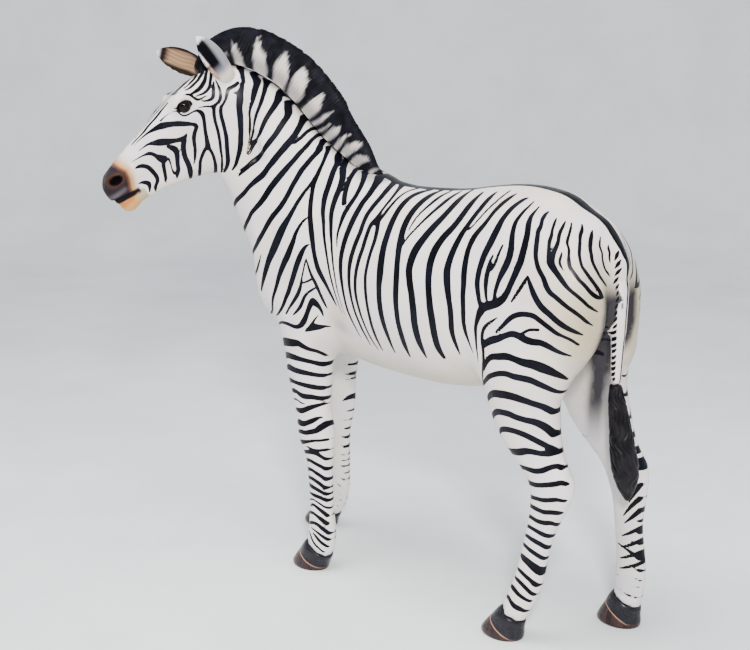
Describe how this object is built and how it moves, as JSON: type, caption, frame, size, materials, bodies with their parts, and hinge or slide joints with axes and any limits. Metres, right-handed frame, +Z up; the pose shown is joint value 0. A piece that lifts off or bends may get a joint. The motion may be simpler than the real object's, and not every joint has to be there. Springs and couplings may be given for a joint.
{
  "type": "life-size zebra statue",
  "caption": "Hollow moulded figure of a standing zebra at life size, its head turned to look over its left shoulder, painted with narrow black stripes on white.",
  "frame": {"origin": "centre of the whole figure's footprint box, on the floor under the soles", "axes": "+X towards the animal's left, +Y towards its tail end, +Z up"},
  "size_m": [0.9116, 1.9192, 1.9994],
  "materials": {
    "coat": "glossy painted moulding, warm white with black stripes",
    "ear": "glossy painted moulding, tan cup with a dark rim and a white tip",
    "mane": "satin painted moulding carved with strands, black with white patches in the mane",
    "eye": "polished dark brown ball",
    "hoof": "glossy dark brown paint with a thin tan line under the coronet"
  },
  "bodies": {
    "root": {"trunk": "coat", "neck": "coat", "head": "coat", "leg_front_left": "coat", "leg_front_right": "coat", "leg_hind_left": "coat", "leg_hind_right": "coat", "tail": "coat", "ear_left": "ear", "ear_right": "ear", "mane": "mane", "tail_tuft": "mane", "eye_left": "eye", "eye_right": "eye", "hoof_front_left": "hoof", "hoof_front_right": "hoof", "hoof_hind_left": "hoof", "hoof_hind_right": "hoof"}
  },
  "joints": []
}
